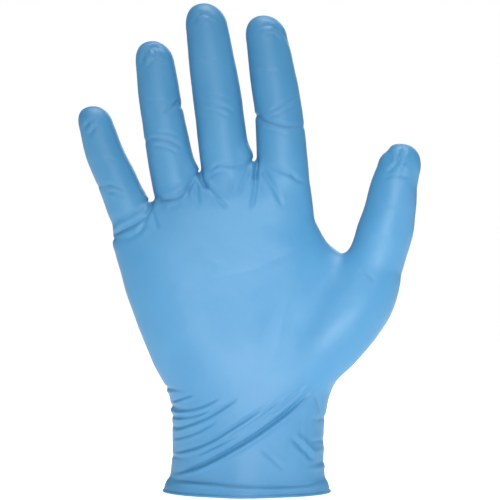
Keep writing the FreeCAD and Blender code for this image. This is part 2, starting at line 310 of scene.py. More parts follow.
class Skin:
    """The skin's points in millimetres, its faces, and the sums that smoothing and normals need."""

    def __init__(self, grid):
        grid.verts.ensure_lookup_table()
        grid.verts.index_update()
        self.points = np.array([v.co for v in grid.verts]) / MM
        self.faces = [[v.index for v in face.verts] for face in grid.faces]
        self.edges = np.array([[v.index for v in edge.verts] for edge in grid.edges])
        self.rim = np.array([v.index for v in grid.verts if v.is_boundary])
        self.triangles = np.array([(f[0], f[k], f[k + 1]) for f in self.faces
                                   for k in range(1, len(f) - 1)])
        self.quads = np.array([f if len(f) == 4 else [*f, f[-1]] for f in self.faces])
        self.valence = np.bincount(self.edges.ravel(), minlength=len(self.points)).astype(float)
        self.free = np.ones(len(self.points))
        self.free[self.rim] = 0

    def smooth(self, rounds, share=1.0, back=0.0):
        """Moves points to their neighbours' mean; back is how far each round grows again."""
        weight = self.free * share
        moving = np.flatnonzero(weight > 0)
        place = np.full(len(self.points), -1)
        place[moving] = np.arange(len(moving))
        first, second = np.vstack([self.edges, self.edges[:, ::-1]]).T
        kept = place[first] >= 0
        target, other = place[first[kept]], second[kept]
        weight, valence = weight[moving, None], self.valence[moving, None]
        steps = [SMOOTH_STEP, -back] if back else [SMOOTH_STEP]
        for growth in steps * rounds:
            mean = np.column_stack([np.bincount(target, self.points[other, axis], len(moving))
                                    for axis in range(3)]) / valence
            self.points[moving] += growth * weight * (mean - self.points[moving])

    def normals(self):
        a, b, c = self.points[self.triangles].transpose(1, 0, 2)
        flat = np.cross(b - a, c - a)
        total = np.zeros_like(self.points)
        for corner in range(3):
            for axis in range(3):
                total[:, axis] += np.bincount(self.triangles[:, corner], flat[:, axis], len(total))
        length = np.linalg.norm(total, axis=1, keepdims=True)
        return total / np.maximum(length, LEAST_LENGTH)

    def push(self, amount):
        """Moves each point along its normal by its amount."""
        self.points += self.normals() * amount[:, None]


# ---------------------------------------------------------------- where the skin bends

# Distances along each stall from its root, at its left and right sides, where its bending starts,
# the length it bends over, and half the length of the bends at its knuckle and end folds. The thumb's
# stall has one such fold.
BENDS = {
    "index": dict(left=6.6, right=0.0, length=9.6, half_knuckle=8.4, half_end=5.6),
    "middle": dict(left=1.5, right=4.2, length=14.0, half_knuckle=9.0, half_end=5.6),
    "ring": dict(left=0.0, right=8.2, length=8.6, half_knuckle=7.4, half_end=5.4),
    "little": dict(left=0.0, right=5.8, length=5.6, half_knuckle=6.3, half_end=4.8),
    "thumb": dict(left=0.0, right=-5.0, length=12.0, half_knuckle=6.4, half_end=0),
}
STALL_REACH = 22.0


class Bend:
    """A straight run from one plane to another, in millimetres; blend only bakes a piece's transform into
    its points.
    """

    def __init__(self, middle, direction, before, after):
        self.normal = direction / np.linalg.norm(direction)
        self.start = middle - self.normal * before
        self.end = middle + self.normal * after
        self.length = before + after

    def share(self, points):
        return (points - self.start) @ self.normal / self.length

    def blend(self, thing, first, second):
        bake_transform(thing)


def stall_bends(name):
    """The bends of one stall, from its root to its tip."""
    stall, sizes = STALLS[name], BENDS[name]
    stations = stall_frames(stall)
    root, turn = stations[0]
    side, along = turn[:, 0], turn[:, 2]
    width = stall["widths"][0]
    slope = sizes["right"] - sizes["left"]
    middle = root + along * (sizes["left"] + sizes["right"]) / 2
    bends = [Bend(middle, along * width - side * slope, 0, sizes["length"])]
    for (point, rotation), key in zip(stations[1:3], ("half_knuckle", "half_end")):
        if sizes[key]:
            bends.append(Bend(point, rotation[:, 2], sizes[key], sizes[key]))
    return bends


def distance_to_path(points, path):
    best = np.full(len(points), np.inf)
    for a, b in zip(path[:-1], path[1:]):
        run = b - a
        t = np.clip((points - a) @ run / (run @ run), 0, 1)
        best = np.minimum(best, np.linalg.norm(points - a - t[:, None] * run, axis=1))
    return best


def stall_of_points(points):
    """Number of the nearest stall for each point, or -1 where none is near."""
    gaps = []
    for stall in STALLS.values():
        path = np.array([point for point, _ in stall_frames(stall)])
        gaps.append(distance_to_path(points, path))
    gaps = np.array(gaps)
    nearest = gaps.argmin(0)
    nearest[gaps.min(0) > STALL_REACH] = -1
    return nearest


# ---------------------------------------------------------------- swells, creases and folds

# x, z, radius and height of broad swells on the palm and on the back.
PALM_SWELLS = (
    (37, 68, 23, 2.2), (50, 90, 14, 1.0), (-33, 78, 24, 1.6), (-36, 104, 16, 0.6), (-4, 95, 24, -1.8),
    (6, 60, 13, -0.8), (25, 86, 15, 1.5),
    (14, 137, 11, 0.5), (-10, 138, 9, 0.5), (-31, 129, 9, 0.5), (29, 113, 14, -0.5),
)
BACK_SWELLS = (
    (15, 144, 7, 1.6), (-10, 146, 7, 1.7), (-32, 135, 7, 1.5), (-52, 122, 6, 1.2), (58, 104, 9, 1.4),
    (2, 125, 20, -0.8), (-20, 100, 25, 0.9), (30, 95, 18, -1.4),
)

# Height (valleys are negative), width, and the points (x, z) the crease runs through.
PALM_CREASES = (
    # little stall
    (-0.60, 0.8, ((-66.5, 143.8), (-61.5, 142.6), (-57.2, 139.8))),
    (-0.47, 0.7, ((-65.6, 140.6), (-60.8, 139.4), (-57.0, 137.2))),
    (-0.21, 0.8, ((-68.0, 156.4), (-63.5, 155.0), (-60.0, 154.6))),
    (-1.10, 0.9, ((-66.2, 118.6), (-60.0, 121.6), (-52.5, 125.2), (-45.6, 130.0))),
    (0.36, 1.2, ((-62.5, 124.4), (-55.0, 127.2), (-48.5, 131.6))),
    (-0.39, 0.9, ((-57.5, 117.6), (-51.0, 120.8), (-46.6, 125.6))),
    (-0.49, 0.8, ((-76.9, 169.4), (-73.3, 173.4), (-68.6, 174.4))),
    (-0.39, 0.8, ((-74.3, 165.8), (-71.9, 169.8), (-67.2, 170.8))),
    # ring stall
    (-0.72, 0.8, ((-47.0, 165.6), (-40.5, 164.6), (-34.0, 162.8), (-29.8, 160.2))),
    (-0.49, 0.7, ((-45.6, 162.2), (-38.8, 160.8), (-32.0, 158.0))),
    (-0.31, 0.7, ((-43.6, 168.4), (-36.0, 167.2), (-31.0, 165.6))),
    (-0.60, 0.8, ((-40.6, 176.4), (-35.2, 179.2), (-30.8, 184.6))),
    (-0.26, 0.8, ((-47.2, 183.6), (-42.0, 182.2), (-37.0, 183.4))),
    (-0.94, 1.0, ((-44.8, 139.8), (-39.6, 136.4), (-34.6, 136.8), (-29.0, 140.6), (-23.8, 146.4))),
    (0.31, 1.3, ((-41.0, 142.2), (-35.0, 140.6), (-29.4, 144.4))),
    (-0.31, 0.9, ((-37.4, 132.4), (-30.6, 134.8))),
    (-0.78, 0.8, ((-50.0, 198.0), (-48.2, 204.6), (-43.6, 208.2), (-38.6, 205.4))),
    (-0.55, 0.8, ((-47.4, 198.4), (-42.3, 201.6), (-36.8, 200.2))),
    (0.44, 0.9, ((-47.0, 201.6), (-42.6, 204.8), (-38.6, 203.2))),
    (-0.44, 0.7, ((-45.6, 207.4), (-43.2, 204.6), (-41.0, 202.2))),
    # middle stall
    (-0.34, 0.8, ((-22.2, 183.0), (-15.4, 180.6), (-9.0, 178.8), (-4.8, 175.6))),
    (-0.29, 0.8, ((-21.6, 179.2), (-14.8, 177.2), (-8.0, 174.6))),
    (-0.18, 0.8, ((-20.4, 186.2), (-13.6, 184.6), (-7.4, 182.4))),
    (-0.21, 0.8, ((-23.0, 202.6), (-16.8, 200.8), (-11.4, 201.0))),
    (-0.60, 0.8, ((-18.4, 149.6), (-13.4, 152.6), (-7.0, 152.0), (-1.6, 153.4))),
    (-0.30, 0.8, ((-19.6, 144.8), (-16.6, 148.0), (-12.0, 149.4), (-8.6, 147.6))),
    (-0.49, 0.8, ((-26.6, 218.2), (-21.2, 223.0), (-13.6, 219.4))),
    (-0.29, 0.7, ((-23.6, 216.8), (-19.4, 219.4), (-14.8, 216.4))),
    # index stall
    (-1.01, 0.8, ((0.8, 176.8), (6.6, 173.8), (13.0, 171.6), (19.6, 170.4), (25.4, 171.0))),
    (-0.57, 0.8, ((9.2, 176.8), (14.4, 179.6), (19.6, 182.4), (24.8, 186.4))),
    (-0.42, 0.7, ((7.6, 174.4), (12.4, 175.6), (18.2, 178.4), (24.0, 180.6))),
    (-0.29, 0.8, ((5.6, 170.2), (12.0, 168.0), (19.0, 167.0))),
    (-0.26, 0.8, ((4.0, 197.2), (9.6, 195.8), (15.6, 196.6))),
    (-0.65, 0.9, ((6.8, 153.6), (12.6, 150.6), (19.0, 148.4), (25.0, 147.0))),
    (-0.49, 0.8, ((19.2, 148.6), (23.0, 145.6), (27.4, 144.4))),
    (-0.52, 0.8, ((3.6, 215.0), (9.4, 217.8), (16.2, 214.4), (20.6, 207.4))),
    (-0.29, 0.7, ((6.4, 211.8), (11.0, 213.6), (16.2, 209.6))),
    # webs
    (-1.55, 0.9, ((-22.6, 151.6), (-22.0, 147.4), (-20.4, 143.6), (-18.4, 140.4))),
    (-0.70, 0.9, ((-22.8, 147.2), (-18.2, 141.8), (-13.0, 136.0), (-8.6, 131.2))),
    (-0.46, 0.9, ((-23.4, 146.4), (-23.6, 139.4), (-22.0, 131.8))),
    (-0.41, 0.9, ((-24.6, 147.0), (-27.6, 141.0), (-28.6, 134.8))),
    (0.30, 1.2, ((-19.6, 144.6), (-14.6, 138.8), (-9.6, 134.8))),
    (-1.55, 0.9, ((3.9, 157.4), (4.0, 152.6), (3.6, 148.0), (3.4, 144.6))),
    (-0.68, 0.9, ((3.8, 152.0), (3.6, 144.0), (2.6, 137.0), (1.2, 130.6))),
    (-0.54, 0.9, ((5.4, 152.8), (9.6, 146.0), (13.4, 139.4), (16.4, 132.4))),
    (-0.41, 0.9, ((1.6, 151.4), (-2.4, 144.2), (-4.4, 138.0))),
    (-0.32, 0.8, ((-7.5, 147.6), (-7.8, 143.4), (-8.2, 139.4))),
    (-1.35, 0.9, ((-44.9, 138.0), (-45.1, 134.6), (-46.0, 131.4), (-47.6, 128.8))),
    (-0.57, 0.9, ((-44.6, 133.2), (-43.6, 127.4), (-41.0, 121.8))),
    (-0.43, 0.9, ((-45.6, 131.6), (-48.4, 125.2), (-51.0, 120.4))),
    # palm
    (-0.10, 2.0, ((36.0, 117.0), (20.0, 112.0), (2.0, 104.0), (-22.0, 98.0))),
    (-0.12, 2.2, ((34.0, 112.4), (24.0, 100.0), (16.6, 84.0), (14.0, 68.0))),
    # thumb
    (-0.30, 0.8, ((50.6, 104.4), (54.4, 102.4), (58.8, 98.2))),
    (-0.16, 0.9, ((60.0, 133.6), (66.0, 131.6), (72.0, 132.2))),
    (-0.60, 0.9, ((72.6, 161.6), (69.8, 155.4), (66.6, 151.2), (62.8, 147.4))),
    (0.30, 1.0, ((70.2, 158.4), (67.2, 153.4), (64.0, 150.4))),
    (-0.26, 0.8, ((60.6, 145.0), (67.7, 147.4), (75.6, 146.0))),
    (-0.24, 0.8, ((76.4, 156.6), (73.0, 152.6), (71.4, 148.4))),
    # cuff
    (-0.45, 0.9, ((31.0, 47.4), (33.0, 41.0), (35.0, 33.6))),
    (-0.75, 1.0, ((19.6, 27.4), (25.4, 21.4), (31.4, 14.6))),
    (0.40, 1.2, ((21.4, 28.8), (27.2, 22.8), (32.6, 17.2))),
    (-0.34, 0.9, ((5.6, 22.4), (11.0, 17.6), (17.6, 11.4))),
    (-0.20, 0.8, ((25.4, 40.0), (24.6, 28.0), (25.2, 13.0))),
    (-0.22, 0.8, ((28.4, 36.0), (28.0, 26.0), (28.8, 12.0))),
    (-0.14, 1.1, ((6.0, 57.0), (16.0, 60.0), (27.0, 63.4))),
)
# Folds on the palm's side where the film laps down over itself: height, width and points (x, z), from
# the little finger's side to the thumb's. Each has its groove above its line and its roll below it.
PALM_LAPS = (
    (1.25, 1.0, ((-36.2, 8.0), (-22.0, 13.1), (-10.0, 19.4), (0.5, 25.5), (19.3, 38.8), (34.0, 52.0))),
    (0.70, 0.9, ((-36.0, 17.6), (-22.0, 22.3), (-3.7, 32.9), (11.4, 43.0))),
    (0.55, 0.9, ((-36.0, 28.6), (-19.7, 35.1), (-3.0, 45.6))),
    (0.50, 0.8, ((-36.0, 37.6), (-24.0, 39.7), (-12.0, 45.0))),
    (0.38, 0.7, ((-35.8, 42.0), (-24.2, 46.4))),
    (0.36, 0.7, ((-35.4, 34.4), (-23.8, 36.4), (-16.5, 39.6))),
    (0.32, 0.8, ((-35.6, 24.0), (-24.0, 28.4), (-13.0, 34.6))),
    (0.42, 0.9, ((-12.5, 25.0), (6.4, 37.4), (19.0, 46.6))),
    (0.30, 0.8, ((-24.0, 17.8), (-10.0, 24.8), (2.0, 32.0))),
    (0.34, 0.8, ((8.0, 35.4), (20.0, 44.6), (29.0, 53.0))),
    (0.80, 0.8, ((-37.0, 5.4), (-29.0, 5.9), (-15.0, 5.6), (-8.0, 4.6), (10.0, 4.1), (25.0, 4.1),
                 (37.0, 5.6))),
)
BACK_LAPS = (
    (0.95, 1.0, ((-36.0, 12.0), (-16.0, 19.0), (4.0, 29.4), (22.0, 41.0), (35.0, 49.0))),
    (0.65, 0.9, ((-36.0, 24.0), (-18.0, 31.0), (0.0, 41.0), (10.0, 47.0))),
    (0.50, 0.8, ((-36.0, 35.0), (-22.0, 39.6), (-8.0, 47.0))),
    (0.55, 0.9, ((0.0, 13.0), (16.0, 21.6), (35.0, 33.0))),
    (0.36, 0.8, ((14.0, 12.0), (26.0, 18.0), (36.0, 25.0))),
    (0.70, 0.8, ((-37.0, 5.4), (-16.0, 4.8), (4.0, 4.6), (24.0, 5.0), (37.0, 5.6))),
)
BACK_CREASES = (
    (-0.42, 1.1, ((-66.6, 146.6), (-61.4, 144.2), (-56.6, 141.4))),
    (-0.36, 1.0, ((-65.8, 143.0), (-60.6, 140.8), (-56.2, 138.6))),
    (-0.44, 1.1, ((-47.0, 167.6), (-38.8, 164.4), (-30.6, 162.2))),
    (-0.36, 1.0, ((-46.2, 163.6), (-38.4, 160.8), (-30.6, 158.8))),
    (-0.28, 1.0, ((-44.2, 170.4), (-37.8, 168.2), (-32.4, 166.8))),
    (-0.44, 1.1, ((-22.6, 183.0), (-14.0, 180.2), (-5.2, 178.2))),
    (-0.36, 1.0, ((-21.8, 179.0), (-13.6, 176.6), (-5.0, 174.8))),
    (-0.28, 1.0, ((-20.8, 186.4), (-14.0, 184.2), (-7.0, 182.6))),
    (-0.46, 1.1, ((2.6, 177.6), (11.0, 175.0), (20.6, 172.8), (25.6, 172.4))),
    (-0.36, 1.0, ((3.6, 173.6), (12.0, 171.0), (21.6, 169.4))),
    (-0.28, 1.0, ((5.0, 180.6), (12.0, 178.4), (19.4, 177.0))),
    (-0.24, 0.9, ((-68.4, 158.0), (-60.2, 154.8))),
    (-0.24, 0.9, ((-48.2, 185.4), (-35.4, 181.6))),
    (-0.24, 0.9, ((-24.4, 203.6), (-9.8, 200.2))),
    (-0.24, 0.9, ((2.8, 199.0), (18.6, 196.0))),
    (-0.30, 1.0, ((58.8, 134.6), (66.4, 131.8), (73.8, 131.6))),
    (-0.26, 0.9, ((59.6, 130.4), (66.8, 128.2), (73.4, 128.4))),
    (0.50, 2.2, ((15.0, 139.0), (12.0, 122.0), (6.0, 104.0), (2.0, 88.0))),
    (0.45, 2.2, ((-10.6, 140.0), (-9.4, 122.0), (-8.0, 102.0))),
    (0.40, 2.1, ((-31.0, 129.0), (-26.0, 112.0), (-21.0, 96.0))),
    (-0.40, 1.6, ((26.0, 118.0), (33.0, 106.0), (41.0, 98.0))),
    (-0.36, 1.5, ((20.0, 108.0), (30.0, 96.0), (40.0, 88.0))),
    (-0.32, 1.4, ((30.0, 82.0), (40.0, 80.0), (50.0, 84.0))),
    (-0.50, 1.2, ((-20.0, 15.0), (-14.0, 10.6), (-6.0, 5.4))),
)
# How far a point faces a side, from 0 to 1, where that side's creases start and where they are whole.
CREASED_FROM, CREASED_WHOLE = -0.08, 0.42
SWELLED_FROM, SWELLED_WHOLE = 0.0, 0.6
NICKED_FROM, NICKED_WHOLE = 0.35, 0.85
PUCKERED_FROM, PUCKERED_WHOLE = -0.2, 0.3
CREASE_SHARPNESS = 1.5
SHOULDER_SHARE = 0.26
SHOULDER_AWAY = 2.4
SHOULDER_WIDTH = 1.4
CREASE_FADE = 0.24
CREASE_REACH = 5.0
LAP_FADE = 0.14
LAP_REACH = 10.0
# A lap's groove and roll: distance from its line, width, height, and the share and length of its tail,
# the distances and lengths in widths of the lap.
GROOVE = dict(away=0.55, width=0.85, height=0.85, tail=0.30, tail_length=2.6)
ROLL = dict(away=1.15, width=1.0, height=0.75, tail=0.42, tail_length=3.2)
CURVE_STEPS = 6

# x, z and reach of the puckers where spare film gathers over the fingertips, and their wrinkles' height.
TIP_PUCKERS = (
    (-71.5, 170.6, 5.6, 0.11), (-43.6, 203.6, 7.0, 0.16), (-20.0, 220.6, 6.0, 0.09),
    (10.4, 214.0, 6.2, 0.10), (69.0, 152.0, 8.0, 0.12),
)
PUCKER_ARMS = 5
PUCKER_TWIST = 0.55
PUCKER_TURN = 1.9
PIT_SHARE = 1.1
PIT_WIDTH = 1.3
# Side (-1 left, 1 right), x, z, height and width of the nicks and bumps along the outline.
EDGE_NICKS = (
    (-1, 2.0, 176.2, -0.8, 0.9), (1, -30.5, 180.6, -0.6, 1.2), (-1, -36.0, 48.6, -0.7, 0.9),
    (-1, -36.0, 46.8, 0.4, 0.9), (-1, -35.5, 40.0, -0.7, 0.9), (-1, -35.5, 37.8, 0.5, 0.9),
    (-1, -35.6, 35.4, -0.6, 0.8), (-1, -35.6, 30.8, -0.4, 0.8), (-1, -36.0, 16.7, -0.5, 0.9),
    (1, 36.0, 24.4, -0.35, 1.0), (1, 36.0, 19.6, 0.30, 1.3), (1, 36.0, 14.2, -0.30, 1.2),
    (1, 36.0, 11.6, 0.35, 1.1), (1, 36.0, 34.6, -0.5, 1.2), (-1, -66.0, 143.0, -0.35, 1.0),
    (1, -56.8, 139.0, -0.35, 1.0), (-1, -46.4, 164.0, -0.35, 1.1), (1, 26.0, 171.0, -0.35, 1.1),
    (-1, -66.0, 118.4, -0.8, 1.0), (1, 79.0, 141.4, -1.0, 5.5), (1, 76.0, 121.0, 1.2, 9.0),
    (-1, 66.0, 161.0, -1.5, 3.4), (1, 0.8, 157.4, 1.9, 5.0), (1, -24.4, 150.4, 1.5, 4.4),
    (1, -47.0, 137.4, 1.2, 4.2), (1, 29.0, 138.0, 0.8, 9.0),
)
EDGE_REACH = 9.0


def nearest_on_curve(plane, path, reach):
    """Points within reach of the curve: their numbers, signed distances to its left and places along."""
    path = np.array(path, float)
    along = np.concatenate([[0], np.cumsum(np.linalg.norm(np.diff(path, axis=0), axis=1))])
    curve = spline(along, path, np.linspace(0, along[-1], CURVE_STEPS * len(path)))
    near = np.flatnonzero(((plane > curve.min(0) - reach) & (plane < curve.max(0) + reach)).all(1))
    gap = np.full(len(near), np.inf)
    signed, place = np.zeros(len(near)), np.zeros(len(near))
    steps = len(curve) - 1
    for k in range(steps):
        run = curve[k + 1] - curve[k]
        offset = plane[near] - curve[k]
        t = np.clip(offset @ run / (run @ run), 0, 1)
        away = np.linalg.norm(offset - t[:, None] * run, axis=1)
        left = run[0] * offset[:, 1] - run[1] * offset[:, 0]
        closer = away < gap
        gap[closer] = away[closer]
        signed[closer] = np.copysign(away, left)[closer]
        place[closer] = (k + t[closer]) / steps
    return near, signed, place


def crease_field(points, facing, rows):
    """Height of plain creases at each point; facing is how far each point faces their side."""
    height = np.zeros(len(points))
    shade = smoothstep(CREASED_FROM, CREASED_WHOLE, facing)
    for rise, width, path in rows:
        near, gap, place = nearest_on_curve(points[:, [0, 2]], path, width * CREASE_REACH)
        fade = smoothstep(0, CREASE_FADE, place) * smoothstep(1, 1 - CREASE_FADE, place)
        gap = np.abs(gap) / width
        shoulder = SHOULDER_SHARE * bell(gap - SHOULDER_AWAY, SHOULDER_WIDTH)
        height[near] += rise * fade * (np.exp(-gap ** CREASE_SHARPNESS) - shoulder) * shade[near]
    return height


def lap_side(distance, shape):
    """One side of a lap, by the distance from its line, which is positive on that side."""
    tail = shape["tail"] * np.exp(-np.maximum(distance, 0) / shape["tail_length"]) * (distance > 0)
    return shape["height"] * (bell(distance - shape["away"], shape["width"]) + tail)


def lap_field(points, facing, rows):
    """Height of the folds that lap over: a groove above the line, and a roll that fades out below it."""
    height = np.zeros(len(points))
    shade = smoothstep(CREASED_FROM, CREASED_WHOLE, facing)
    for rise, width, path in rows:
        near, side, place = nearest_on_curve(points[:, [0, 2]], path, width * LAP_REACH)
        fade = smoothstep(0, LAP_FADE, place) * smoothstep(1, 1 - 2 * LAP_FADE, place)
        side = side / width
        height[near] += rise * fade * (lap_side(-side, ROLL) - lap_side(side, GROOVE)) * shade[near]
    return height


def swell_field(points, facing, rows):
    """Height of the broad swells and hollows of one side."""
    shade = smoothstep(SWELLED_FROM, SWELLED_WHOLE, facing)
    height = np.zeros(len(points))
    for x, z, radius, rise in rows:
        gap = np.hypot(points[:, 0] - x, points[:, 2] - z)
        height += rise * bell(gap, radius) * shade
    return height


def pucker_field(points, facing):
    """Small wrinkles that swirl around the spare film on the fingertips."""
    height = np.zeros(len(points))
    for number, (x, z, reach, rise) in enumerate(TIP_PUCKERS):
        across, up = points[:, 0] - x, points[:, 2] - z
        gap = np.hypot(across, up)
        swirl = np.arctan2(up, across) * PUCKER_ARMS + gap * PUCKER_TWIST + number * PUCKER_TURN
        wrinkles = np.sin(swirl) * bell(gap - reach * 0.45, reach * 0.5)
        height += rise * wrinkles * smoothstep(PUCKERED_FROM, PUCKERED_WHOLE, facing)
        height -= rise * PIT_SHARE * bell(gap, PIT_WIDTH) * smoothstep(0, 0.5, facing)
    return height


def nick_field(points, normals):
    """Height of the nicks and bumps where wrinkles come round the sides."""
    height = np.zeros(len(points))
    for side, x, z, rise, width in EDGE_NICKS:
        shade = smoothstep(NICKED_FROM, NICKED_WHOLE, side * normals[:, 0])
        near = bell(points[:, 0] - x, EDGE_REACH)
        height += rise * bell(points[:, 2] - z, width) * near * shade
    return height


# Size and height of the film's gentle unevenness, and how far apart in the noise its sizes are read.
UNDULATIONS = ((24.0, 0.34), (9.0, 0.12), (4.2, 0.045))
NOISE_SHIFT = 7.3


def undulation(points):
    """Gentle unevenness of a film that is stretched here and slack there."""
    height = np.zeros(len(points))
    for size, rise in UNDULATIONS:
        scaled = (points / size + NOISE_SHIFT * size).tolist()
        height += rise * np.array([noise.noise(p) for p in scaled])
    return height


# Number, height and turn of the waves round the slack open end, which die out above it.
CUFF_WAVES = ((2, 0.75, 0.6), (3, 0.55, -1.1), (5, 0.40, 2.2), (8, 0.26, 0.4))
CUFF_WAVE_REACH = 17.0
CUFF_WIDTH_TO_DEPTH = 1.7


def cuff_wave(points):
    """How far the slack open end stands in or out of its ellipse."""
    angle = np.arctan2(points[:, 1] * CUFF_WIDTH_TO_DEPTH, points[:, 0])
    wave = sum(rise * np.cos(count * angle + turn) for count, rise, turn in CUFF_WAVES)
    return wave * bell(points[:, 2], CUFF_WAVE_REACH)


# ---------------------------------------------------------------- the skin, shaped

# Centre (x, z) and reach of the places where two forms meet and the film runs smoothly between them.
UNION_PLACES = ((-44.7, 129, 11), (-22, 140, 13), (3, 145, 13), (24, 140, 11), (-60, 122, 9),
                (-33, 138, 10), (-10, 146, 10), (15, 145, 10), (-54, 126, 8))
MOUND_PLACES = ((20, 58, 19), (30, 75, 20), (42, 95, 18), (50, 108, 14), (43, 112, 16), (30, 110, 13),
                (34, 60, 15), (60, 112, 9))
UNION_ROUNDS = 130
MOUND_ROUNDS = 420
# Rounds of smoothing that take out the voxels' steps, how far each grows back, the rounds after the
# swells, and the share of one round after the creases.
VOXEL_ROUNDS, VOXEL_REGROWTH = 14, 0.4
SWELL_ROUNDS = 6
CREASE_SHARE = 0.6
PLACE_CORE = 0.45
# x, z, reach and height of the lift of the web's bottom.
THUMB_WEB = (43.4, 109.5, 6.5, 2.6)


def soften_unions(skin):
    """Smooths the skin where two forms meet, so that it runs from one to the other without a seam."""
    for places, rounds in ((UNION_PLACES, UNION_ROUNDS), (MOUND_PLACES, MOUND_ROUNDS)):
        share = np.zeros(len(skin.points))
        for x, z, reach in places:
            gap = np.hypot(skin.points[:, 0] - x, skin.points[:, 2] - z)
            share = np.maximum(share, smoothstep(reach, reach * PLACE_CORE, gap))
        skin.smooth(rounds, share=share)


def raise_thumb_web(skin):
    """Lifts the film that spans from the index stall's root to the thumb, which rounds its bottom."""
    x, z, reach, lift = THUMB_WEB
    gap = np.hypot(skin.points[:, 0] - x, skin.points[:, 2] - z)
    skin.points[:, 2] += lift * bell(gap, reach)


def shaped_skin():
    """The whole skin, from its forms to its last crease."""
    grid = joined_skin()
    cut_open_end(grid)
    skin = Skin(grid)
    grid.free()
    skin.smooth(VOXEL_ROUNDS, back=VOXEL_REGROWTH)
    soften_unions(skin)
    raise_thumb_web(skin)
    normals = skin.normals()
    palm, back = -normals[:, 1], normals[:, 1]
    skin.push(swell_field(skin.points, palm, PALM_SWELLS) + swell_field(skin.points, back, BACK_SWELLS))
    skin.smooth(SWELL_ROUNDS)
    normals = skin.normals()
    palm, back = -normals[:, 1], normals[:, 1]
    points = skin.points
    height = (crease_field(points, palm, PALM_CREASES) + crease_field(points, back, BACK_CREASES)
              + lap_field(points, palm, PALM_LAPS) + lap_field(points, back, BACK_LAPS)
              + pucker_field(points, palm) + nick_field(points, normals) + undulation(points)
              + cuff_wave(points))
    skin.push(height)
    skin.points[skin.rim, 2] = 0
    skin.smooth(1, share=CREASE_SHARE)
    return skin


# ---------------------------------------------------------------- pieces

def skin_piece(name, skin, chosen, normals, film):
    """One piece of the skin, from the chosen faces, shaded as if the skin were still whole."""
    corners = skin.quads[chosen]
    used, inverse = np.unique(corners, return_inverse=True)
    local = inverse.reshape(corners.shape)
    faces = [row[:3].tolist() if row[3] == row[2] else row.tolist() for row in local]
    thing = mesh_object(name, skin.points[used], faces)
    thing.data.shade_smooth()
    thing.data.normals_split_custom_set_from_vertices(normals[used].tolist())
    thing.data.materials.append(film)
    return thing


def split_skin(skin, film):
    """Splits the skin into its pieces at the stalls' folds and at the wrist; the palm and the back ride on
    the hand.
    """
    normals = skin.normals()
    corners = skin.quads
    nearest = stall_of_points(skin.points)[corners]
    free = np.ones(len(corners), bool)
    for number, name in enumerate(STALLS):
        bends = stall_bends(name)
        zones = ("lower", "tip") if name == "thumb" else ("lower", "middle", "tip")
        pieces = ("root", "tip") if name == "thumb" else ("root", "knuckle", "tip")
        bodies = ["hand"] + [f"{name}_{zone}" for zone in zones]
        mine = (nearest == number).all(1)
        level = np.full(len(corners), -1)
        for step, bend in enumerate(bends):
            past = (bend.share(skin.points)[corners] > 0).any(1) & mine
            level[past & (level == step - 1)] = step
        for step, bend in enumerate(bends):
            chosen = level == step
            thing = skin_piece(f"{name}_{pieces[step]}_skin", skin, chosen, normals, film)
            bend.blend(thing, bodies[step], bodies[step + 1])
            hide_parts(bodies[step + 1])
            free &= ~chosen
    above = (skin.points[:, 2][corners] > WRIST_SPLIT).any(1)
    front = skin.points[:, 1][corners].mean(1) < 0
    for name, half, solid in (("palm_skin", front, "palm"), ("hand_back_skin", ~front, "hand_back")):
        thing = skin_piece(name, skin, free & above & half, normals, film)
        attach(thing, "hand")
        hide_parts(solid)
    cuff = skin_piece("cuff_skin", skin, free & ~above, normals, film)
    middle = np.array([0, 0, WRIST_SPLIT - WRIST_BLEND])
    Bend(middle, np.array([0, 0, 1.0]), WRIST_BLEND, WRIST_BLEND).blend(cuff, "cuff", "hand")
    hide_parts("cuff")


BEAD_RADIUS = 0.6
BEAD_SIDES = 16
BEAD_STEPS = 300
BEAD_ROUNDS = 3
BEAD_UNEVENNESS = 0.05


def bead_piece(skin, material):
    """The rolled bead, swept round the skin's own rim."""
    rim = skin.points[skin.rim]
    angle = np.arctan2(rim[:, 1], rim[:, 0])
    order = np.argsort(angle)
    around = np.linspace(-math.pi, math.pi, BEAD_STEPS, endpoint=False)
    path = np.column_stack([np.interp(around, angle[order], rim[order, axis], period=2 * math.pi)
                            for axis in range(2)])
    for _ in range(BEAD_ROUNDS):
        path = (path + 0.5 * (np.roll(path, 1, 0) + np.roll(path, -1, 0))) / 2
    ahead = np.roll(path, -1, 0) - np.roll(path, 1, 0)
    ahead /= np.linalg.norm(ahead, axis=1, keepdims=True)
    outward = np.column_stack([ahead[:, 1], -ahead[:, 0]])
    points, faces = [], []
    for step in range(BEAD_STEPS):
        swell = 1 + BEAD_UNEVENNESS * noise.noise((path[step, 0] * 0.5, path[step, 1] * 0.5, 3.1))
        for side in range(BEAD_SIDES):
            turn = 2 * math.pi * side / BEAD_SIDES
            out, up = BEAD_RADIUS * swell * math.cos(turn), BEAD_RADIUS * math.sin(turn)
            points.append((*(path[step] + outward[step] * out), up))
    for step in range(BEAD_STEPS):
        for side in range(BEAD_SIDES):
            a = step * BEAD_SIDES + side
            b = step * BEAD_SIDES + (side + 1) % BEAD_SIDES
            c = (step + 1) % BEAD_STEPS * BEAD_SIDES
            faces.append((a, b, c + (side + 1) % BEAD_SIDES, c + side))
    thing = mesh_object("rolled_bead", points, faces)
    thing.data.shade_smooth()
    thing.data.materials.append(material)
    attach(thing, "cuff")
    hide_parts("cuff_bead")


# ---------------------------------------------------------------- materials

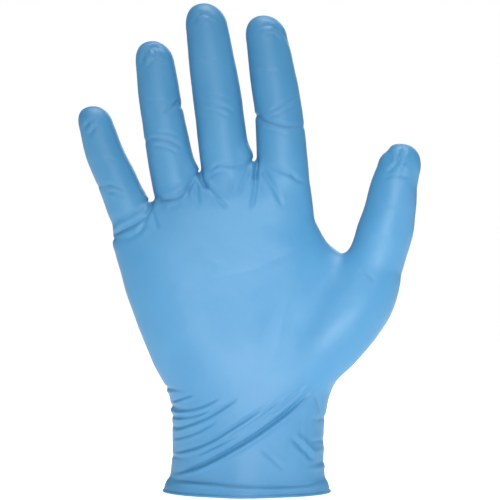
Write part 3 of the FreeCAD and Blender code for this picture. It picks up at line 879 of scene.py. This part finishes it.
# Noise of the colour's patches, the slack film's ripple and the surface's grain, scaled per metre.
PATCHES = dict(Scale=38.0, Detail=3.0, Roughness=0.5)
SLACK = dict(Scale=170.0, Detail=2.0, Roughness=0.5, Distortion=0.6)
GRAIN = dict(Scale=900.0, Detail=4.0, Roughness=0.6)
PATCH_EDGES = (0.32, 0.68)
SMOOTHER, ROUGHER = 0.05, 0.08
NITRILE_IOR = 1.45
NITRILE_SPECULAR = 0.62
FILM_COLOURS = dict(deep=(0.052, 0.226, 0.424), light=(0.064, 0.248, 0.452), roughness=0.46)
BEAD_COLOURS = dict(deep=(0.050, 0.222, 0.420), light=(0.062, 0.244, 0.448), roughness=0.44)
FLOOR_COLOUR = (0.86, 0.87, 0.88, 1)
FLOOR_ROUGHNESS = 0.9
FLOOR_GLOW = 0.72


def node(tree, kind, **sockets):
    made = tree.nodes.new(kind)
    for name, value in sockets.items():
        made.inputs[name.replace("_", " ")].default_value = value
    return made


def noise_bump(tree, place, below, texture, strength, distance):
    """Bump from a noise texture, laid over the bump below it, if there is one."""
    pattern = node(tree, "ShaderNodeTexNoise", **texture)
    tree.links.new(place, pattern.inputs["Vector"])
    bump = node(tree, "ShaderNodeBump", Strength=strength, Distance=distance)
    tree.links.new(pattern.outputs["Fac"], bump.inputs["Height"])
    if below is not None:
        tree.links.new(below.outputs["Normal"], bump.inputs["Normal"])
    return bump


def film_material(name, deep, light, roughness):
    """Satin blue nitrile: mottled slightly and finely rough to the touch."""
    material = bpy.data.materials.new(name)
    material.use_nodes = True
    tree = material.node_tree
    shader = tree.nodes["Principled BSDF"]
    place = tree.nodes.new("ShaderNodeTexCoord").outputs["Object"]
    patches = node(tree, "ShaderNodeTexNoise", **PATCHES)
    tree.links.new(place, patches.inputs["Vector"])
    ramp = tree.nodes.new("ShaderNodeValToRGB")
    for stop, position, colour in zip(ramp.color_ramp.elements, PATCH_EDGES, (deep, light)):
        stop.position = position
        stop.color = (*colour, 1)
    tree.links.new(patches.outputs["Fac"], ramp.inputs["Fac"])
    tree.links.new(ramp.outputs["Color"], shader.inputs["Base Color"])
    rough = node(tree, "ShaderNodeMapRange")
    rough.inputs["To Min"].default_value = roughness - SMOOTHER
    rough.inputs["To Max"].default_value = roughness + ROUGHER
    tree.links.new(patches.outputs["Fac"], rough.inputs["Value"])
    tree.links.new(rough.outputs["Result"], shader.inputs["Roughness"])
    coarse = noise_bump(tree, place, None, SLACK, strength=0.28, distance=0.0004)
    fine = noise_bump(tree, place, coarse, GRAIN, strength=0.10, distance=0.0001)
    tree.links.new(fine.outputs["Normal"], shader.inputs["Normal"])
    shader.inputs["IOR"].default_value = NITRILE_IOR
    shader.inputs["Specular IOR Level"].default_value = NITRILE_SPECULAR
    return material


def pale_floor():
    material = bpy.data.materials.new("pale_floor")
    material.use_nodes = True
    shader = material.node_tree.nodes["Principled BSDF"]
    shader.inputs["Base Color"].default_value = FLOOR_COLOUR
    shader.inputs["Roughness"].default_value = FLOOR_ROUGHNESS
    shader.inputs["Emission Color"].default_value = (1, 1, 1, 1)
    shader.inputs["Emission Strength"].default_value = FLOOR_GLOW
    return material


# ---------------------------------------------------------------- floor, light and camera

def aim(thing, target):
    thing.rotation_euler = (Vector(target) - thing.location).to_track_quat("-Z", "Y").to_euler()


def area_light(name, place, target, size, power):
    lamp = bpy.data.lights.new(name, "AREA")
    lamp.size = size
    lamp.energy = power
    thing = bpy.data.objects.new(name, lamp)
    bpy.context.scene.collection.objects.link(thing)
    thing.location = place
    aim(thing, target)


def soft_spot(name, place, target, degrees, power):
    """A lamp whose light fades out all the way from the middle of its beam."""
    lamp = bpy.data.lights.new(name, "SPOT")
    lamp.spot_size = math.radians(degrees)
    lamp.spot_blend = 1
    lamp.shadow_soft_size = SPOT_RADIUS
    lamp.energy = power
    thing = bpy.data.objects.new(name, lamp)
    bpy.context.scene.collection.objects.link(thing)
    thing.location = place
    aim(thing, target)


FLOOR_RADIUS = 1.3
FLOOR_SIDES = 96
ROOM_LIGHT = 0.24
ROOM_COLOUR = (0.95, 0.98, 1, 1)
MIDDLE_HEIGHT = 0.10
SPOT_RADIUS = 0.14


def pale_room():
    """A white room to the eye that lights the object more softly than it looks."""
    world = bpy.data.worlds.new("pale_room")
    world.use_nodes = True
    tree = world.node_tree
    seen = tree.nodes["Background"]
    seen.inputs["Color"].default_value = (1, 1, 1, 1)
    seen.inputs["Strength"].default_value = 1.0
    lit = node(tree, "ShaderNodeBackground", Color=ROOM_COLOUR, Strength=ROOM_LIGHT)
    mixed = tree.nodes.new("ShaderNodeMixShader")
    ray = tree.nodes.new("ShaderNodeLightPath")
    tree.links.new(ray.outputs["Is Camera Ray"], mixed.inputs["Fac"])
    tree.links.new(lit.outputs["Background"], mixed.inputs[1])
    tree.links.new(seen.outputs["Background"], mixed.inputs[2])
    tree.links.new(mixed.outputs["Shader"], tree.nodes["World Output"].inputs["Surface"])
    bpy.context.scene.world = world


def studio():
    turns = np.arange(FLOOR_SIDES) * 2 * math.pi / FLOOR_SIDES
    reach = FLOOR_RADIUS / MM
    edge = np.column_stack([np.cos(turns) * reach, np.sin(turns) * reach, np.zeros(FLOOR_SIDES)])
    floor = mesh_object("floor", edge, [tuple(range(FLOOR_SIDES))])
    floor.location.z = FLOOR_Z
    floor.data.materials.append(pale_floor())
    pale_room()
    middle = (0, 0, MIDDLE_HEIGHT)
    area_light("overhead", place=(0.1, -0.1, 1.5), target=(0, 0, 0), size=1.0, power=17)
    area_light("front", place=(-0.15, -0.9, 0.7), target=middle, size=0.3, power=2.0)
    area_light("rear", place=(0.3, 0.9, 0.6), target=middle, size=0.5, power=3.0)
    soft_spot("key", place=(0.12, -0.95, 0.05), target=(0.050, 0, 0.052), degrees=15, power=56)
    bpy.context.scene.view_settings.view_transform = "Standard"


CAMERA_AWAY = 0.8
CAMERA_SIDE = 0.001
CAMERA_HEIGHT = 0.113
VIEW_WIDTH = 0.235
SENSOR_WIDTH = 36


def camera():
    data = bpy.data.cameras.new("camera")
    data.sensor_width = SENSOR_WIDTH
    data.lens = data.sensor_width * CAMERA_AWAY / VIEW_WIDTH
    thing = bpy.data.objects.new("camera", data)
    bpy.context.scene.collection.objects.link(thing)
    thing.location = (CAMERA_SIDE, -CAMERA_AWAY, CAMERA_HEIGHT)
    aim(thing, (CAMERA_SIDE, 0, CAMERA_HEIGHT))
    bpy.context.scene.camera = thing


# ---------------------------------------------------------------- build

camera()
studio()
glove = shaped_skin()
split_skin(glove, film_material("nitrile_film", **FILM_COLOURS))
bead_piece(glove, film_material("nitrile_bead", **BEAD_COLOURS))
